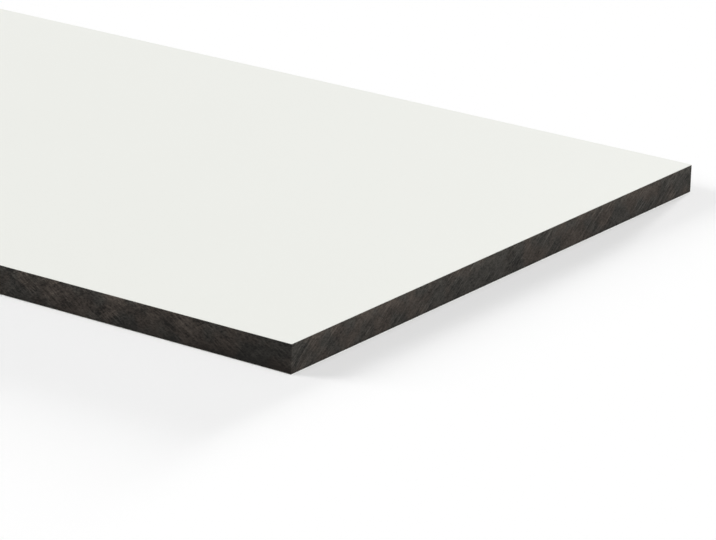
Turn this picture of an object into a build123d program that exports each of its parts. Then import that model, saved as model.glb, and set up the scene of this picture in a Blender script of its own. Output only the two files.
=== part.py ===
from build123d import *
import os

# A compact laminate facade board: a black core of resin-bonded kraft paper with a white decor
# sheet on each face, pressed hard into one board, then sawn to width and to length.
#
# The board lies flat. X runs along its length, Y across its width and Z up through its thickness.
# The origin is the middle of the face that it lies on.

# Stock size, in millimetres
board_length = 3050.0
board_width = 186.0
board_thickness = 8.0

# One decor sheet with its clear overlay, as thick as the press leaves it
decor_thickness = 0.15

# Width that the sanding block takes from both sides of every sawn arris
arris_break = 0.2

# The levels at which the decor sheets are bonded to the core
back_bond = Plane.XY.offset(decor_thickness)
face_bond = Plane.XY.offset(board_thickness - decor_thickness)

# The whole board, sawn square, with all twelve arrises broken. The breaks are wider than the
# decor is thick, so they cut through each decor sheet and just into the core.
with BuildPart() as sawn_board:
    with BuildSketch(Plane.XY):
        Rectangle(board_length, board_width)
    extrude(amount=board_thickness)
    chamfer(sawn_board.edges(), length=arris_break)

# The white sheet on the face side, with its bevelled rim
with BuildPart() as decor_face:
    add(sawn_board.part)
    split(bisect_by=face_bond, keep=Keep.TOP)

# The black core between the two bonds: its edges are the sawn faces that show all round
with BuildPart() as core:
    add(sawn_board.part)
    split(bisect_by=face_bond, keep=Keep.BOTTOM)
    split(bisect_by=back_bond, keep=Keep.TOP)

# The balancing sheet on the back, which keeps the pressed board flat
with BuildPart() as decor_back:
    add(sawn_board.part)
    split(bisect_by=back_bond, keep=Keep.BOTTOM)

decor_face.part.label = "decor_face"
core.part.label = "core"
decor_back.part.label = "decor_back"

os.makedirs("parts", exist_ok=True)
export_step(decor_face.part, "parts/decor_face.step")
export_step(core.part, "parts/core.step")
export_step(decor_back.part, "parts/decor_back.step")
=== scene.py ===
# %% [markdown]
# # A compact laminate facade board
#
# Compact laminate is a stack of kraft papers soaked in dark resin, with a white decor sheet on
# each face, pressed hot into one dense board. This board is sawn square on all four sides, and its
# sharp arrises are broken with a sanding block.
#
# The lesson starts from the finished solids of the board, which are loaded as a fixed frame. They
# hold the size, the three layers and the broken arrises, so nothing here moves or resizes them.
# What is left to do is what the eye meets first: the satin white face, the dark sawn edge with the
# marks of the blade in it, and the light that shows both.

# %% Load the frame
import math
import random
from bisect import bisect_right

import bmesh
import bpy
from mathutils import Matrix, Vector, noise


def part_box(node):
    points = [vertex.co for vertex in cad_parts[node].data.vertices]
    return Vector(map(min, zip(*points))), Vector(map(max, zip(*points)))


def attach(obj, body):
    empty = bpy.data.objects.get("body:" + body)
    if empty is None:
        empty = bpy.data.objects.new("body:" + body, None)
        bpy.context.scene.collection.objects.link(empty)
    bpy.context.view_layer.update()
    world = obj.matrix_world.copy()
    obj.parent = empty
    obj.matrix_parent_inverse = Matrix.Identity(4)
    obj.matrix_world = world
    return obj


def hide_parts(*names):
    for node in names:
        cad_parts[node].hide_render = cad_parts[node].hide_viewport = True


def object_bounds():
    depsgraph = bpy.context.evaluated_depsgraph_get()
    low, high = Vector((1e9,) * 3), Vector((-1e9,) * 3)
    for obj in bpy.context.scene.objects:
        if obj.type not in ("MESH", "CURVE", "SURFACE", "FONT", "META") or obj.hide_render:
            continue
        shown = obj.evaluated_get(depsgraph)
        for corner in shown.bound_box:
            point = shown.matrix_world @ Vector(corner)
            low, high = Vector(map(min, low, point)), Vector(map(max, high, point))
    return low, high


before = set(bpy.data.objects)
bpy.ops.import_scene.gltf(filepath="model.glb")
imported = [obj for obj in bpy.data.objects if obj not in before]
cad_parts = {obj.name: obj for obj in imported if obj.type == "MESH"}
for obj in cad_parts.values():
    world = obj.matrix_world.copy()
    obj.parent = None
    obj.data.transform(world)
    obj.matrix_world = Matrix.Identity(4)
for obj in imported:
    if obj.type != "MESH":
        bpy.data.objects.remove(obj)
cad_low, cad_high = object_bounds()
MM = 0.001

board_length = cad_high.x - cad_low.x
board_width = cad_high.y - cad_low.y
board_thickness = cad_high.z - cad_low.z
print("pieces of the frame:", sorted(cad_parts))
print("board, mm:", [round(side / MM, 2) for side in (board_length, board_width, board_thickness)])

# %% [markdown]
# ## The camera
#
# A product photo of a thin board is taken from afar with a long lens, so that the edges stay
# nearly parallel. The camera looks at a point on the white face, a little way in from the nearest
# corner. Its place follows from two angles and a distance, which are easier to read and to change
# than three coordinates. The last angle leans the camera about its own line of sight.

# %% Place the camera
LENS = 200.0
CAMERA_AZIMUTH = math.radians(34.9)
CAMERA_ELEVATION = math.radians(18.97)
CAMERA_LEAN = math.radians(1.56)
CAMERA_DISTANCE = 1002.7 * MM
AIM_IN_FROM_END = 19.2 * MM
AIM_IN_FROM_EDGE = 54.3 * MM

aim = Vector((cad_high.x - AIM_IN_FROM_END, cad_low.y + AIM_IN_FROM_EDGE, cad_high.z))
towards_camera = Vector(
    (
        math.sin(CAMERA_AZIMUTH) * math.cos(CAMERA_ELEVATION),
        -math.cos(CAMERA_AZIMUTH) * math.cos(CAMERA_ELEVATION),
        math.sin(CAMERA_ELEVATION),
    )
)
camera = bpy.data.objects.new("camera", bpy.data.cameras.new("camera"))
camera.data.lens = LENS
camera.location = aim + towards_camera * CAMERA_DISTANCE
upright = (-towards_camera).to_track_quat("-Z", "Y").to_matrix()
camera.rotation_euler = (upright @ Matrix.Rotation(CAMERA_LEAN, 3, "Z")).to_euler()
bpy.context.scene.collection.objects.link(camera)
bpy.context.scene.camera = camera
print("camera, m:", [round(c, 3) for c in camera.location])

# %% [markdown]
# ## The sawn edge
#
# The dark edge is the cut through the whole stack of papers. Each tooth of the circular saw
# passes it on an arc of the blade's radius, and the board moves on a little with every turn of the
# blade. So the cut carries a row of leaning arcs, some hundredths of a millimetre deep.
#
# A bump map could draw them, but a bump isn't in the mesh. A box with a dense, upright grid could
# hold them, but the arcs would cross its columns and come out as steps. So the mesh is made the way
# the saw went: a long flat sheet whose columns lean along the arcs, cut where the board has its
# corners, and then wrapped round the board like a label round a tin.
#
# The first thing that this needs is the arc itself. The function below says how far along the
# board an arc has come at each height. It uses plain arithmetic only, so that the finish, further
# on, can call it with shader values instead of numbers.

# %% The arc of a tooth
BLADE_RADIUS = 150.0 * MM
BLADE_RISE = 32.0 * MM
FEED_PER_TURN = 2.4 * MM
axis_depth = BLADE_RADIUS - BLADE_RISE


def lean(height):
    """How far along the board an arc has come when it has risen to this height."""
    start = (BLADE_RADIUS**2 - axis_depth**2) ** 0.5
    return start - (BLADE_RADIUS**2 - (height + axis_depth) ** 2) ** 0.5


print("an arc leans, mm:", round(lean(board_thickness) / MM, 2), "over the thickness")

# %% [markdown]
# Next comes the walk round the board. It starts in the middle of the rear edge, where nobody looks
# for a seam, and goes through the two folds of each broken arris. Each stop of the walk has a way
# into the board: deeper inside, the outline is smaller, but the flat of a broken arris stays where
# it is, so its two folds slide towards each other's faces.

# %% Walk round the board
ARRIS_BREAK = 0.2 * MM
core_low, core_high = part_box("core")


def broken_arris(x_side, y_side):
    """The two folds at one corner of the board, on its edge and on its end: point and way in."""
    corner = Vector((x_side * core_high.x, y_side * core_high.y))
    along_x = Vector((x_side, 0.0))
    along_y = Vector((0.0, y_side))
    on_edge = (corner - ARRIS_BREAK * along_x, along_x - along_y)
    on_end = (corner - ARRIS_BREAK * along_y, along_y - along_x)
    return [on_edge, on_end]


walk = [(Vector((0.0, core_high.y)), Vector((0.0, -1.0)))]
walk += broken_arris(-1, 1)
walk += reversed(broken_arris(-1, -1))
walk += broken_arris(1, -1)
walk += reversed(broken_arris(1, 1))
walk.append(walk[0])

stations = [0.0]
for (here, _), (there, _) in zip(walk, walk[1:]):
    stations.append(stations[-1] + (there - here).length)
perimeter = stations[-1]
print("once round the board, mm:", round(perimeter / MM, 1), "with", len(stations) - 2, "folds")

# %% [markdown]
# The sheet is one grid. A turn of the blade gets four columns, enough for a groove with a soft
# bottom. Along an arc the depth changes slowly, so a few rows do, with one narrow row more at each
# edge for the broken arris.

# %% Make the flat sheet
COLUMNS_PER_TURN = 4
SAWN_ROWS = 5
turns = round(perimeter / FEED_PER_TURN)
columns = turns * COLUMNS_PER_TURN
sawn_bottom = ARRIS_BREAK
sawn_top = board_thickness - ARRIS_BREAK
row_height = (sawn_top - sawn_bottom) / SAWN_ROWS
levels = [core_low.z, *(sawn_bottom + row_height * row for row in range(SAWN_ROWS + 1)), core_high.z]
rows = len(levels) - 1

sheet = bmesh.new()
bmesh.ops.create_grid(sheet, x_segments=columns, y_segments=rows, size=1.0)
for vert in sheet.verts:
    column = round((vert.co.x + 1.0) / 2.0 * columns)
    height = levels[round((vert.co.y + 1.0) / 2.0 * rows)]
    vert.co = (column * perimeter / columns + lean(height), height, 0.0)
print("turns of the blade:", turns, "faces of the sheet:", len(sheet.faces))

# %% [markdown]
# The columns lean, so they cross the corners of the board. Each fold is therefore cut into the
# sheet while it is still flat. The sheet's own coordinates are kept as a UV map: U stays the same
# along an arc and V is the height, which is just what the finish needs later.

# %% Cut the folds and keep the flat coordinates
SNAP = 0.002 * MM
NEAR_A_CUT = 0.03 * MM

for fold in stations[1:-1]:
    whole = [*sheet.verts, *sheet.edges, *sheet.faces]
    cut = bmesh.ops.bisect_plane(
        sheet, geom=whole, plane_co=(fold, 0.0, 0.0), plane_no=(1.0, 0.0, 0.0), dist=NEAR_A_CUT
    )
    for part in cut["geom_cut"]:
        if isinstance(part, bmesh.types.BMVert):
            part.co.x = fold

arc_and_height = sheet.loops.layers.uv.new("arc_and_height")
for face in sheet.faces:
    for loop in face.loops:
        distance, height, _ = loop.vert.co
        loop[arc_and_height].uv = (distance - lean(height), height)
print("faces with the folds:", len(sheet.faces))

# %% [markdown]
# Now the depth of the marks. Every turn of the blade cuts a little more or less than the one
# before, and along an arc the tooth bites unevenly too: mostly less than the depth of its turn, and
# in a few places more. The marks die out at the broken arrises, which the sanding block has
# smoothed.

# %% Wrap the sheet round the board
DEEPEST_TURN = 0.03 * MM
SHALLOWEST_SHARE = 0.2
MEAN_BITE = 0.6
BITE_SPREAD = 0.8
BITE_LENGTH = 5.0 * MM
SANDED_MARGIN = 0.8 * MM

shuffle = random.Random(7)
turn_depths = [DEEPEST_TURN * shuffle.uniform(SHALLOWEST_SHARE, 1.0) for _ in range(turns)]
mark = sheet.verts.layers.float.new("mark")


def find_side(distance):
    """The distance less any full rounds, and the number of the side of the walk that it is on."""
    distance %= perimeter
    return distance, bisect_right(stations, distance) - 1


def on_board(distance, depth):
    """The point that a distance of the walk leads to, this deep inside the sawn faces."""
    distance, side = find_side(distance)
    (start, start_way), (stop, stop_way) = walk[side], walk[side + 1]
    share = (distance - stations[side]) / (stations[side + 1] - stations[side])
    return start.lerp(stop, share) + depth * start_way.lerp(stop_way, share)


def sanded(distance):
    """0 on a broken arris, and 1 where the sawn face is as the blade left it."""
    distance, side = find_side(distance)
    on_arris = side % 2 == 1
    if on_arris:
        return 0.0
    to_fold = min(distance - stations[side], stations[side + 1] - distance)
    return min(1.0, to_fold / SANDED_MARGIN)


def mark_depth(distance, height):
    """How deep the blade has cut at a point of the sheet."""
    turn, phase = divmod((distance - lean(height)) / perimeter * turns, 1.0)
    groove = math.sin(math.pi * phase) ** 2
    where = Vector((*on_board(distance, 0.0), height))
    bite = MEAN_BITE + BITE_SPREAD * noise.noise(where / BITE_LENGTH)
    return turn_depths[int(turn) % turns] * groove * max(0.0, bite) * sanded(distance)


for vert in sheet.verts:
    distance, height, _ = vert.co
    bevel = max(0.0, sawn_bottom - height, height - sawn_top)
    depth = mark_depth(distance, height) if bevel < SNAP else bevel
    vert[mark] = depth / DEEPEST_TURN if bevel < SNAP else 0.0
    vert.co = (*on_board(distance, depth), height)
print("deepest mark, mm:", round(max(vert[mark] for vert in sheet.verts) * DEEPEST_TURN / MM, 4))

# %% [markdown]
# Wrapped, the sheet is a belt. Its two ends meet behind the board and are merged, and the two open
# rims are closed where the decor sheets are bonded on.
#
# A closed rim is one face with ten thousand corners, nearly all in line, and such a face falls
# apart into slivers when it is made triangles. So each is cut across into squares, and every square
# gets a point in its middle, from which its triangles fan out.

# %% Close the belt
LEVEL_FACE = 0.9
squares = round(board_length / board_width)

rims = [vert for vert in sheet.verts if vert.is_boundary]
bmesh.ops.remove_doubles(sheet, verts=rims, dist=SNAP)
for level in (core_low.z, core_high.z):
    rim = [e for e in sheet.edges if e.is_boundary and abs(e.verts[0].co.z - level) < SNAP]
    bmesh.ops.holes_fill(sheet, edges=rim, sides=0)
bmesh.ops.recalc_face_normals(sheet, faces=sheet.faces[:])
sheet.normal_update()


def bonded_faces():
    """The level faces on which the decor sheets are bonded."""
    return [face for face in sheet.faces if abs(face.normal.z) > LEVEL_FACE]


def bonded_parts():
    """Those faces with their edges and corners, each of them once."""
    parts = [part for face in bonded_faces() for part in (face, *face.edges, *face.verts)]
    return list(dict.fromkeys(parts))


for square in range(1, squares):
    across = (cad_low.x + board_length * square / squares, 0.0, 0.0)
    bmesh.ops.bisect_plane(
        sheet, geom=bonded_parts(), plane_co=across, plane_no=(1.0, 0.0, 0.0), dist=NEAR_A_CUT
    )
bmesh.ops.poke(sheet, faces=bonded_faces(), center_mode="BOUNDS")
print("faces on which the sheets are bonded:", len(bonded_faces()))

# %% [markdown]
# The grooves are shaded smooth, and only the folds and the broken arrises stay sharp. The finished
# core takes the place of the plain one in the frame.

# %% Make the core an object
SHARP_ANGLE = math.radians(15.0)

for edge in sheet.edges:
    edge.smooth = edge.calc_face_angle(0.0) < SHARP_ANGLE
for face in sheet.faces:
    face.smooth = True
triangles = sum(len(face.verts) - 2 for face in sheet.faces)
open_edges = sum(not edge.is_manifold for edge in sheet.edges)

core_mesh = bpy.data.meshes.new("sawn_core")
sheet.to_mesh(core_mesh)
sheet.free()
sawn_core = bpy.data.objects.new("sawn_core", core_mesh)
bpy.context.scene.collection.objects.link(sawn_core)
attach(sawn_core, "root")
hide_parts("core")
print("triangles of the core:", triangles, "open edges:", open_edges)

# %% [markdown]
# ## Arithmetic on shader sockets
#
# A material is a net of nodes, and a net of Math nodes is hard to read. The class below wraps one
# output socket, so that a formula can be written as one: each sign adds the node that does it.
# Every other node comes from `add`, which takes the node's type, its settings and its inputs.


# %% Wrap a socket
class Wire:
    """An output socket in a net of nodes, which can be reckoned with like a number."""

    def __init__(self, tree, socket=None):
        self.tree = tree
        self.socket = socket

    def add(self, kind, settings=None, inputs=None, output=0):
        """A new node with its settings and inputs, as a wire from the output that is asked for."""
        node = self.tree.nodes.new(kind)
        for name, value in (settings or {}).items():
            setattr(node, name, value)
        for key, value in (inputs or {}).items():
            if isinstance(value, Wire):
                self.tree.links.new(value.socket, node.inputs[key])
            else:
                node.inputs[key].default_value = value
        return Wire(self.tree, node.outputs[output])

    def maths(self, operation, first, second=0.0):
        """One Math node."""
        return self.add("ShaderNodeMath", {"operation": operation}, {0: first, 1: second})

    def __add__(self, other):
        return self.maths("ADD", self, other)

    def __radd__(self, other):
        return self.maths("ADD", other, self)

    def __sub__(self, other):
        return self.maths("SUBTRACT", self, other)

    def __rsub__(self, other):
        return self.maths("SUBTRACT", other, self)

    def __mul__(self, other):
        return self.maths("MULTIPLY", self, other)

    def __rmul__(self, other):
        return self.maths("MULTIPLY", other, self)

    def __truediv__(self, other):
        return self.maths("DIVIDE", self, other)

    def __lt__(self, other):
        return self.maths("LESS_THAN", self, other)

    def __abs__(self):
        return self.maths("ABSOLUTE", self)

    def __pow__(self, power):
        return self.maths("POWER", self, power)

    def smooth(self, start, end):
        """0 before start, 1 after end, and a smooth slope between them."""
        settings = {"interpolation_type": "SMOOTHSTEP"}
        return self.add("ShaderNodeMapRange", settings, {0: self, 1: start, 2: end, 3: 0.0, 4: 1.0})

    def blend(self, first, second):
        """Number: first where this is 0, second where it is 1."""
        return self.add("ShaderNodeMix", {"data_type": "FLOAT"}, {0: self, 2: first, 3: second})

    def tint(self, first, second):
        """Colour: first where this is 0, second where it is 1."""
        return self.add("ShaderNodeMix", {"data_type": "RGBA"}, {0: self, 6: first, 7: second}, output=2)

    def axes(self):
        """The three numbers of a vector."""
        split = self.add("ShaderNodeSeparateXYZ", inputs={0: self})
        return [Wire(self.tree, split.socket.node.outputs[axis]) for axis in "XYZ"]


methods = [name for name, part in vars(Wire).items() if callable(part)]
print("methods of a wire:", len(methods))

# %% [markdown]
# Every finish below starts the same way. Those that vary are mixed from two kinds of noise: lumps,
# which lie in space, and streaks, which are drawn out along the arcs of the blade. Their colours are
# given as they look on a screen, and have to be turned into the amounts of light that a shader
# takes.


# %% Colours, lumps and streaks
def linear(red, green, blue):
    """A screen colour, 0 to 255 each, as the linear colour that a shader takes."""
    parts = [part / 255.0 for part in (red, green, blue)]
    return tuple(p / 12.92 if p <= 0.04045 else ((p + 0.055) / 1.055) ** 2.4 for p in parts) + (1.0,)


def start_material(name, settings):
    """A new material, its shader with the fixed settings, and a wire to start its net from."""
    material = bpy.data.materials.new(name)
    material.use_nodes = True
    shader = material.node_tree.nodes["Principled BSDF"]
    for socket, value in settings.items():
        shader.inputs[socket].default_value = value
    return material, shader, Wire(material.node_tree)


def feed(material, shader, socket, wire):
    """Links a wire to a socket of the shader."""
    material.node_tree.links.new(wire.socket, shader.inputs[socket])


def lumps(place, size, detail, roughness=0.5):
    """Noise in space, with lumps of about this size in metres."""
    inputs = {"Vector": place, "Scale": 1.0 / size, "Detail": detail, "Roughness": roughness}
    return place.add("ShaderNodeTexNoise", inputs=inputs)


def streaks(arc, height, width, length):
    """Noise drawn out along the arcs: streaks of about this width and length in metres."""
    place = arc.add("ShaderNodeCombineXYZ", inputs={"X": arc / width, "Y": height / length})
    inputs = {"Vector": place, "Scale": 1.0, "Detail": 2.0, "Roughness": 0.5, "Distortion": 0.4}
    return place.add("ShaderNodeTexNoise", {"noise_dimensions": "2D"}, inputs)


print("a screen white of 237, 238, 233 is", [round(c, 3) for c in linear(237, 238, 233)])

# %% [markdown]
# ## The finish of the sawn edge
#
# Cured resin is nearly black, and a sharp tooth leaves it satin. Where a tooth drags, it bruises
# the resin, which turns a lighter, greyish brown. So the arcs also show as soft light strokes, with
# thin scratches among them. The teeth go down on one side of the blade and come up on the other,
# and the second set of marks leans the other way. On the ends it is nearly all cut away again, and
# on the long edges it shows more than the first.
#
# A wave texture can't follow such arcs. The UV map of the sheet can: noise that is short across U
# and long across V is drawn out along the arcs. The second set is found from the same map, because
# it leans by as much to the other side.

# %% Marks of the teeth
STROKE_WIDTH = 1.8 * MM
STROKE_LENGTH = 4.0 * MM
CROSSING_WIDTH = 1.6 * MM
CROSSING_LENGTH = 3.2 * MM
SCRATCH_WIDTH = 0.6 * MM
THIN_CROSSING_LENGTH = 2.2 * MM
STROKE_FADE = (0.35, 0.75)
SCRATCH_FADE = (0.52, 0.75)


def marks_of_the_teeth(arc, height, on_long_edge):
    """Strokes and scratches of the first set of arcs, and then of the set that crosses it."""
    second_arc = arc + 2.0 * lean(height)
    strokes = streaks(arc, height, STROKE_WIDTH, STROKE_LENGTH).smooth(*STROKE_FADE)
    scratches = streaks(arc, height, SCRATCH_WIDTH, STROKE_LENGTH).smooth(*SCRATCH_FADE)
    crossing = streaks(second_arc, height, CROSSING_WIDTH, CROSSING_LENGTH).smooth(*STROKE_FADE)
    thin_crossing = streaks(second_arc, height, SCRATCH_WIDTH, THIN_CROSSING_LENGTH).smooth(*SCRATCH_FADE)
    return (
        strokes * on_long_edge.blend(0.85, 0.5),
        scratches * on_long_edge.blend(0.85, 0.35),
        crossing * on_long_edge.blend(0.25, 1.15),
        thin_crossing * on_long_edge.blend(0.1, 0.75),
    )


print("strokes and crossing strokes, mm wide:", [round(w / MM, 1) for w in (STROKE_WIDTH, CROSSING_WIDTH)])

# %% [markdown]
# The edge isn't equally dark all over, and this is painted light and shade, not a change in the
# papers. It is painted lighter near the face and darker near the back, with a thin painted shade at
# the foot where the board meets the floor, and a long edge is painted darker towards the ends of the
# board. This could be painted on with a ramp, but the height and the distance to the end are known at
# every point, so a few smooth slopes do it.

# %% Painted shade of the edge
FACE_BAND = (4.5 * MM, 7.5 * MM)
BACK_BAND = (0.0, 4.0 * MM)
FOOT_SHADE_BAND = (0.3 * MM, 1.0 * MM)
END_BAND = (-5.0 * MM, 72.0 * MM)


def painted_shade_of_edge(height, to_end, on_long_edge):
    """Painted light and shade: how much lighter or darker the edge is painted at a height, and at a
    distance to the board's end.
    """
    # Painted light and shade: lighter towards the face, darker towards the back.
    near_face = height.smooth(*FACE_BAND)
    near_back = 1.0 - height.smooth(*BACK_BAND)
    # Painted shade in a thin band at the foot, where the board meets the floor.
    painted_foot_shade = 1.0 - height.smooth(*FOOT_SHADE_BAND)
    # Painted shade: a long edge is darker towards the ends of the board.
    near_end = (1.0 - to_end.smooth(*END_BAND)) * on_long_edge
    painted_back_shade = 0.02 + on_long_edge * (0.24 + 0.5 * near_end)
    shade = 1.0 + 0.5 * near_face - painted_back_shade * near_back
    return shade * (1.0 - 0.48 * near_end) * (1.0 - 0.45 * painted_foot_shade)


print("the edge gets lighter between, mm:", [round(height / MM, 1) for height in FACE_BAND])

# %% [markdown]
# Between the marks the edge is mottled. The fibres of the papers lie flat, so their grain is longer
# along the board than through it, which the noise gets by stretching its place. A tooth doesn't drag
# everywhere, so broad lumps say where its marks stand out. The net adds all this up to one tone
# between nearly black and greyish brown. What is taken off each part before it is added keeps the
# edge as a whole from getting lighter, and how strong each part is was judged against the photo.

# %% Finish of the core
FIBRE_STRETCH = 2.0
GRAIN_SIZE = 0.5 * MM
BRUISE_SIZE = 1.7 * MM
PATCH_SIZE = 8.0 * MM
DRAG_SIZE = 7.0 * MM
SCRATCH_RELIEF = 0.02 * MM


def sawn_core_material():
    """Resin-bonded kraft papers, as the saw leaves them."""
    material, shader, net = start_material("sawn_phenolic_core", {"Specular IOR Level": 0.12})
    place = net.add("ShaderNodeTexCoord", output="Object")
    x, y, _ = place.axes()
    arc, height, _ = net.add("ShaderNodeUVMap", {"uv_map": "arc_and_height"}).axes()
    depth = net.add("ShaderNodeAttribute", {"attribute_name": "mark"}, output="Fac")
    to_end = board_length / 2.0 - abs(x)
    to_edge = board_width / 2.0 - abs(y)
    on_long_edge = to_edge < to_end

    lying_flat = (1.0 / FIBRE_STRETCH, 1.0 / FIBRE_STRETCH, 1.0)
    fibres = place.add("ShaderNodeVectorMath", {"operation": "MULTIPLY"}, {0: place, 1: lying_flat})
    grain = lumps(fibres, GRAIN_SIZE, 3.0, 0.75)
    bruises = lumps(fibres, BRUISE_SIZE, 2.0)
    patches = lumps(place, PATCH_SIZE, 2.0)
    mottle = 3.4 * (grain - 0.5) + 1.3 * (bruises - 0.5) + 1.1 * (patches - 0.5)

    strokes, scratches, crossing, thin_crossing = marks_of_the_teeth(arc, height, on_long_edge)
    dragged = lumps(place, DRAG_SIZE, 1.0).smooth(0.4, 0.6).blend(0.4, 1.6)
    marks = 0.42 * (strokes - 0.3) + 0.42 * (crossing - 0.2)
    marks = marks + 0.7 * (scratches - 0.13) + 0.65 * (thin_crossing - 0.08)

    # The long edges start from a darker tone than the ends (0.54 against 0.66). This is painted shade that
    # keeps them darker than the ends under these lamps. The second term is the strength of the marks and
    # mottle.
    tone = on_long_edge.blend(0.66, 0.54) + on_long_edge.blend(0.64, 0.94) * (marks * dragged + mottle)
    # The tone is multiplied by the painted light and shade of the edge.
    tone = (tone + 0.1 * depth) * painted_shade_of_edge(height, to_end, on_long_edge)
    grey = (0.5 * tone).tint(linear(20, 19, 17), linear(86, 83, 78))
    brown = (0.5 * tone).tint(linear(22, 18, 15), linear(91, 83, 76))
    feed(material, shader, "Base Color", patches.smooth(0.4, 0.6).tint(grey, brown))
    feed(material, shader, "Roughness", 0.7 - 0.15 * scratches)

    relief = 0.6 * strokes + 0.35 * crossing + 0.5 * scratches + 0.3 * thin_crossing + 0.3 * grain
    inputs = {"Height": relief, "Strength": 1.0, "Distance": SCRATCH_RELIEF}
    feed(material, shader, "Normal", relief.add("ShaderNodeBump", inputs=inputs))
    return material


core_finish = sawn_core_material()
print("nodes in the finish of the core:", len(core_finish.node_tree.nodes))

# %% [markdown]
# ## The white decor
#
# The face is a white paper under clear melamine resin, moulded against a satin press plate. It is
# almost featureless: what gives it life is a fine, shallow texture from the plate, and a gloss that
# is not quite even. Both are far too small to model, so they are a bump and a change of roughness.

# %% Finish of the decor
PLATE_GRAIN_SIZE = 0.6 * MM
PLATE_RELIEF = 0.01 * MM
CLOUD_SIZE = 60.0 * MM


def decor_material():
    """Satin white melamine decor."""
    material, shader, net = start_material("white_melamine_decor", {"Specular IOR Level": 0.3})
    place = net.add("ShaderNodeTexCoord", output="Object")
    plate = lumps(place, PLATE_GRAIN_SIZE, 3.0, 0.6)
    cloud = lumps(place, CLOUD_SIZE, 2.0)
    white = linear(233, 234, 229)
    duller = linear(228, 229, 223)
    feed(material, shader, "Base Color", (0.25 * plate + 0.25 * cloud).tint(white, duller))
    feed(material, shader, "Roughness", 0.42 + 0.12 * plate)
    inputs = {"Height": plate, "Strength": 0.5, "Distance": PLATE_RELIEF}
    feed(material, shader, "Normal", plate.add("ShaderNodeBump", inputs=inputs))
    return material


decor_finish = decor_material()
print("nodes in the finish of the decor:", len(decor_finish.node_tree.nodes))

# %% [markdown]
# Now each piece gets its finish. The two decor sheets are the frame's own solids, so any material
# that they were loaded with is taken off first.


# %% Dress the board
def dress(piece, material):
    """Gives a piece its finish, in place of any that it was loaded with."""
    piece.data.materials.clear()
    piece.data.materials.append(material)


dress(sawn_core, core_finish)
for name in ("decor_face", "decor_back"):
    dress(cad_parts[name], decor_finish)
print("finishes:", core_finish.name, "and", decor_finish.name)

# %% [markdown]
# ## The floor
#
# The board lies on a white floor that runs on to a white world, with no line between them. The floor
# is a very large disc, a hair below the board, so that the two don't share a plane.

# %% Make the floor
FLOOR_RADIUS = 120.0
FLOOR_SIDES = 96
FLOOR_GAP = 0.02 * MM

floor_mesh = bmesh.new()
bmesh.ops.create_circle(floor_mesh, cap_ends=True, segments=FLOOR_SIDES, radius=FLOOR_RADIUS)
bmesh.ops.translate(floor_mesh, verts=floor_mesh.verts, vec=(0.0, 0.0, cad_low.z - FLOOR_GAP))
floor_data = bpy.data.meshes.new("floor")
floor_mesh.to_mesh(floor_data)
floor_mesh.free()
floor = bpy.data.objects.new("floor", floor_data)
bpy.context.scene.collection.objects.link(floor)
floor_finish, _, _ = start_material(
    "white_floor", {"Base Color": (1.0, 1.0, 1.0, 1.0), "Roughness": 1.0, "Specular IOR Level": 0.0}
)
dress(floor, floor_finish)
print("floor, m across:", 2.0 * FLOOR_RADIUS)

# %% [markdown]
# ## The light
#
# Lamps that are far away keep the light even over a board of three metres. The key lamp stands to
# the right and lights the end of the board more than its edge. A soft lamp on the left, a little in
# front, lays the shadow to the right, and one behind, close to the floor, lays a faint one to the
# front. The strengths add up to 1 on a level surface, so a colour renders about as it is written.
#
# The world is a plain white where the camera, a reflection or glass looks at it, and gives only its
# share of the light to everything else.

# %% Light it
TOP_SHARE = 0.25
KEY_SHARE = 0.38
LEFT_SHARE = 0.15
BACK_SHARE = 0.125
world_share = 1.0 - TOP_SHARE - KEY_SHARE - LEFT_SHARE - BACK_SHARE


def lamp(name, azimuth, elevation, softness, share):
    """A far lamp that gives its share of the light on a level surface."""
    data = bpy.data.lights.new(name, "SUN")
    tilt = math.radians(90.0 - elevation)
    data.energy = share * math.pi / math.cos(tilt)
    data.angle = math.radians(softness)
    light = bpy.data.objects.new(name, data)
    light.rotation_euler = (tilt, 0.0, math.radians(azimuth))
    bpy.context.scene.collection.objects.link(light)


lamp("light_top", azimuth=0.0, elevation=90.0, softness=20.0, share=TOP_SHARE)
lamp("light_key", azimuth=78.0, elevation=40.0, softness=24.0, share=KEY_SHARE)
lamp("light_left", azimuth=-65.0, elevation=22.0, softness=26.0, share=LEFT_SHARE)
lamp("light_back", azimuth=-169.0, elevation=7.0, softness=8.0, share=BACK_SHARE)

world = bpy.data.worlds.new("studio")
bpy.context.scene.world = world
world.use_nodes = True
sky = Wire(world.node_tree)
rays = sky.add("ShaderNodeLightPath").socket.node.outputs
seen, glossy, through = (
    Wire(sky.tree, rays[f"Is {kind} Ray"]) for kind in ("Camera", "Glossy", "Transmission")
)
shown = sky.maths("MINIMUM", seen + glossy + through, 1.0)
background = world.node_tree.nodes["Background"]
background.inputs["Color"].default_value = (1.0, 1.0, 1.0, 1.0)
world.node_tree.links.new(shown.blend(world_share, 1.0).socket, background.inputs["Strength"])
bpy.context.scene.view_settings.view_transform = "Standard"
print("share of the light that the world gives:", round(world_share, 3))

# %% [markdown]
# ## Finish
#
